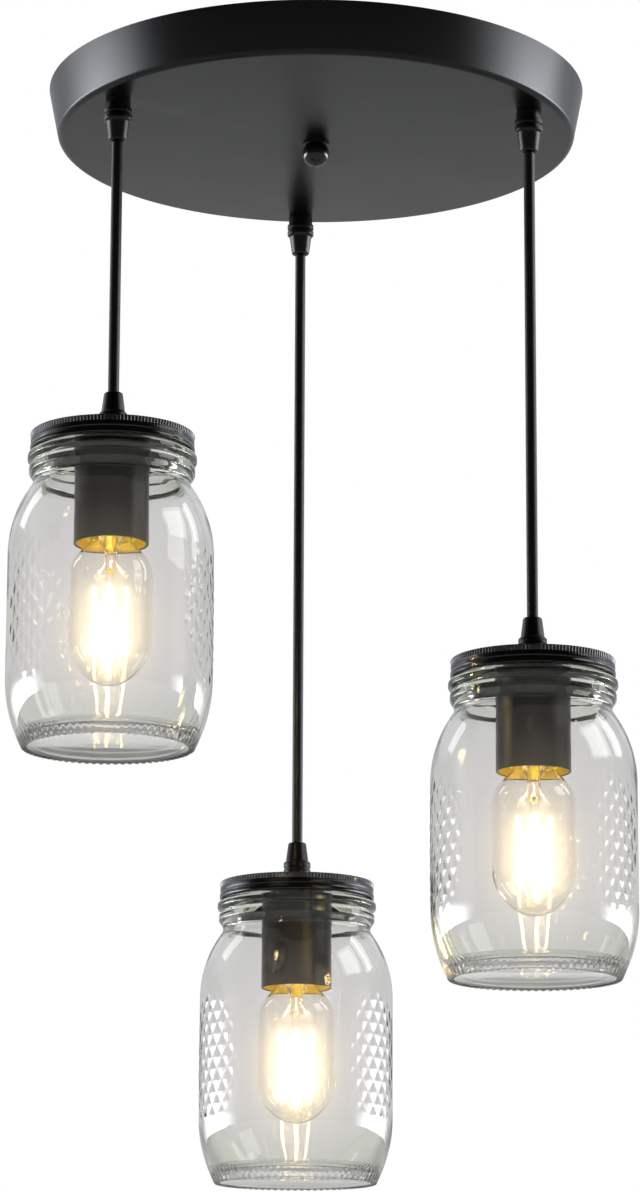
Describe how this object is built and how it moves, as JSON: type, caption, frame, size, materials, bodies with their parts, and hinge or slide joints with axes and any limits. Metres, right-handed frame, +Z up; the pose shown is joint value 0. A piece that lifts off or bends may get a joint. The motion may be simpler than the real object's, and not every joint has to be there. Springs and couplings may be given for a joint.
{
  "type": "mason jar pendant light",
  "caption": "Cluster pendant light: clear glass screw-lid jars hung at different heights on black cords from a round black ceiling canopy, each with a filament bulb in a socket cup.",
  "frame": {"origin": "centre of the ceiling face, where the crossbar's top meets the ceiling box", "axes": "+Z up out of the ceiling face, +X to the right and -Y towards the viewer of the picture"},
  "size_m": [0.3346, 0.3347, 0.5988],
  "materials": {
    "black_paint": "satin black powder coat",
    "zinc_steel": "zinc plated steel",
    "black_nylon": "moulded black nylon",
    "white_nylon": "moulded white nylon",
    "cord_sheath": "smooth black PVC sheath",
    "wire_sleeve": "PVC wire insulation",
    "jar_glass": "clear pressed soda-lime glass",
    "bulb_glass": "thin clear lamp glass",
    "porcelain": "glazed porcelain",
    "brass": "bright rolled brass",
    "bulb_base": "black lamp-base insulator with a solder tip",
    "bulb_cap_metal": "rolled nickel-bright screw cap",
    "filament": "glowing warm filament"
  },
  "bodies": {
    "canopy": {"canopy_shell": "black_paint", "crossbar": "zinc_steel", "centre_nipple": "zinc_steel", "bracket_fasteners": "zinc_steel", "canopy_grip_bodies": "black_nylon", "canopy_grip_caps": "black_nylon", "canopy_grip_nuts": "black_nylon", "cord_tails": "cord_sheath", "terminal_block": "white_nylon", "conductors": "wire_sleeve"},
    "finial_washer": {"finial_washer": "black_paint"},
    "finial_ball": {"finial_ball": "black_paint"},
    "left_sway": {"left_cord_bend": "cord_sheath"},
    "left_cord": {"left_cord": "cord_sheath"},
    "left_lid": {"left_lid_grip_cap": "black_nylon", "left_lid_grip_body": "black_nylon", "left_lid_disc": "black_paint", "left_socket_cup": "black_paint", "left_lamp_holder": "porcelain", "left_screw_shell": "brass", "left_centre_contact": "brass"},
    "left_band": {"left_lid_band": "black_paint"},
    "left_jar": {"left_jar": "jar_glass"},
    "left_bulb_contact": {"left_bulb_contact": "bulb_base"},
    "left_bulb": {"left_bulb_cap": "bulb_cap_metal", "left_bulb_glass": "bulb_glass", "left_bulb_stem": "bulb_glass", "left_bulb_filaments": "filament"},
    "right_sway": {"right_cord_bend": "cord_sheath"},
    "right_cord": {"right_cord": "cord_sheath"},
    "right_lid": {"right_lid_grip_cap": "black_nylon", "right_lid_grip_body": "black_nylon", "right_lid_disc": "black_paint", "right_socket_cup": "black_paint", "right_lamp_holder": "porcelain", "right_screw_shell": "brass", "right_centre_contact": "brass"},
    "right_band": {"right_lid_band": "black_paint"},
    "right_jar": {"right_jar": "jar_glass"},
    "right_bulb_contact": {"right_bulb_contact": "bulb_base"},
    "right_bulb": {"right_bulb_cap": "bulb_cap_metal", "right_bulb_glass": "bulb_glass", "right_bulb_stem": "bulb_glass", "right_bulb_filaments": "filament"},
    "rear_sway": {"rear_cord_bend": "cord_sheath"},
    "rear_cord": {"rear_cord": "cord_sheath"},
    "rear_lid": {"rear_lid_grip_cap": "black_nylon", "rear_lid_grip_body": "black_nylon", "rear_lid_disc": "black_paint", "rear_socket_cup": "black_paint", "rear_lamp_holder": "porcelain", "rear_screw_shell": "brass", "rear_centre_contact": "brass"},
    "rear_band": {"rear_lid_band": "black_paint"},
    "rear_jar": {"rear_jar": "jar_glass"},
    "rear_bulb_contact": {"rear_bulb_contact": "bulb_base"},
    "rear_bulb": {"rear_bulb_cap": "bulb_cap_metal", "rear_bulb_glass": "bulb_glass", "rear_bulb_stem": "bulb_glass", "rear_bulb_filaments": "filament"}
  },
  "joints": [
    {"name": "finial_drop", "type": "slide", "parent": "canopy", "child": "finial_washer", "axis": [0, 0, -1], "range_m": [0, 0.00847]},
    {"name": "finial_turn", "type": "hinge", "parent": "finial_washer", "child": "finial_ball", "pos_m": [0, 0, -0.038], "axis": [0, 0, -1], "range_deg": [0, 3241]},
    {"name": "left_swing_fore", "type": "hinge", "parent": "canopy", "child": "left_sway", "pos_m": [-0.1079, -0.07251, -0.0534], "axis": [1, 0, 0], "range_deg": [-12, 12]},
    {"name": "left_swing_side", "type": "hinge", "parent": "left_sway", "child": "left_cord", "pos_m": [-0.1079, -0.07251, -0.0657], "axis": [0, 1, 0], "range_deg": [-12, 12]},
    {"name": "left_height", "type": "slide", "parent": "left_cord", "child": "left_lid", "axis": [0, 0, 1], "range_m": [0, 0.082], "deforming": ["left_cord"]},
    {"name": "left_band_turn", "type": "hinge", "parent": "left_lid", "child": "left_band", "pos_m": [-0.1079, -0.07251, -0.223], "axis": [0, 0, 1], "range_deg": [0, 450.5]},
    {"name": "left_jar_drop", "type": "slide", "parent": "left_lid", "child": "left_jar", "axis": [0, 0, -1], "range_m": [0, 0.00635]},
    {"name": "left_bulb_drop", "type": "slide", "parent": "left_lid", "child": "left_bulb_contact", "axis": [0, 0, -1], "range_m": [0, 0.0181]},
    {"name": "left_bulb_turn", "type": "hinge", "parent": "left_bulb_contact", "child": "left_bulb", "pos_m": [-0.1079, -0.07251, -0.263], "axis": [0, 0, -1], "range_deg": [0, 1800]},
    {"name": "right_swing_fore", "type": "hinge", "parent": "canopy", "child": "right_sway", "pos_m": [0.11674, -0.05719, -0.0534], "axis": [1, 0, 0], "range_deg": [-12, 12]},
    {"name": "right_swing_side", "type": "hinge", "parent": "right_sway", "child": "right_cord", "pos_m": [0.11674, -0.05719, -0.0657], "axis": [0, 1, 0], "range_deg": [-12, 12]},
    {"name": "right_height", "type": "slide", "parent": "right_cord", "child": "right_lid", "axis": [0, 0, 1], "range_m": [0, 0.201], "deforming": ["right_cord"]},
    {"name": "right_band_turn", "type": "hinge", "parent": "right_lid", "child": "right_band", "pos_m": [0.11674, -0.05719, -0.342], "axis": [0, 0, 1], "range_deg": [0, 450.5]},
    {"name": "right_jar_drop", "type": "slide", "parent": "right_lid", "child": "right_jar", "axis": [0, 0, -1], "range_m": [0, 0.00635]},
    {"name": "right_bulb_drop", "type": "slide", "parent": "right_lid", "child": "right_bulb_contact", "axis": [0, 0, -1], "range_m": [0, 0.0181]},
    {"name": "right_bulb_turn", "type": "hinge", "parent": "right_bulb_contact", "child": "right_bulb", "pos_m": [0.11674, -0.05719, -0.382], "axis": [0, 0, -1], "range_deg": [0, 1800]},
    {"name": "rear_swing_fore", "type": "hinge", "parent": "canopy", "child": "rear_sway", "pos_m": [-0.00884, 0.1297, -0.0534], "axis": [1, 0, 0], "range_deg": [-12, 12]},
    {"name": "rear_swing_side", "type": "hinge", "parent": "rear_sway", "child": "rear_cord", "pos_m": [-0.00884, 0.1297, -0.0657], "axis": [0, 1, 0], "range_deg": [-12, 12]},
    {"name": "rear_height", "type": "slide", "parent": "rear_cord", "child": "rear_lid", "axis": [0, 0, 1], "range_m": [0, 0.292], "deforming": ["rear_cord"]},
    {"name": "rear_band_turn", "type": "hinge", "parent": "rear_lid", "child": "rear_band", "pos_m": [-0.00884, 0.1297, -0.433], "axis": [0, 0, 1], "range_deg": [0, 450.5]},
    {"name": "rear_jar_drop", "type": "slide", "parent": "rear_lid", "child": "rear_jar", "axis": [0, 0, -1], "range_m": [0, 0.00635]},
    {"name": "rear_bulb_drop", "type": "slide", "parent": "rear_lid", "child": "rear_bulb_contact", "axis": [0, 0, -1], "range_m": [0, 0.0181]},
    {"name": "rear_bulb_turn", "type": "hinge", "parent": "rear_bulb_contact", "child": "rear_bulb", "pos_m": [-0.00884, 0.1297, -0.473], "axis": [0, 0, -1], "range_deg": [0, 1800]}
  ],
  "couplings": [
    {"joint": "finial_turn", "follows": "finial_drop", "rad_per_m": 6677.1},
    {"joint": "left_band_turn", "follows": "left_jar_drop", "rad_per_m": 1236.8},
    {"joint": "left_bulb_turn", "follows": "left_bulb_drop", "rad_per_m": 1731.4},
    {"joint": "right_band_turn", "follows": "right_jar_drop", "rad_per_m": 1236.8},
    {"joint": "right_bulb_turn", "follows": "right_bulb_drop", "rad_per_m": 1731.4},
    {"joint": "rear_band_turn", "follows": "rear_jar_drop", "rad_per_m": 1236.8},
    {"joint": "rear_bulb_turn", "follows": "rear_bulb_drop", "rad_per_m": 1731.4}
  ]
}
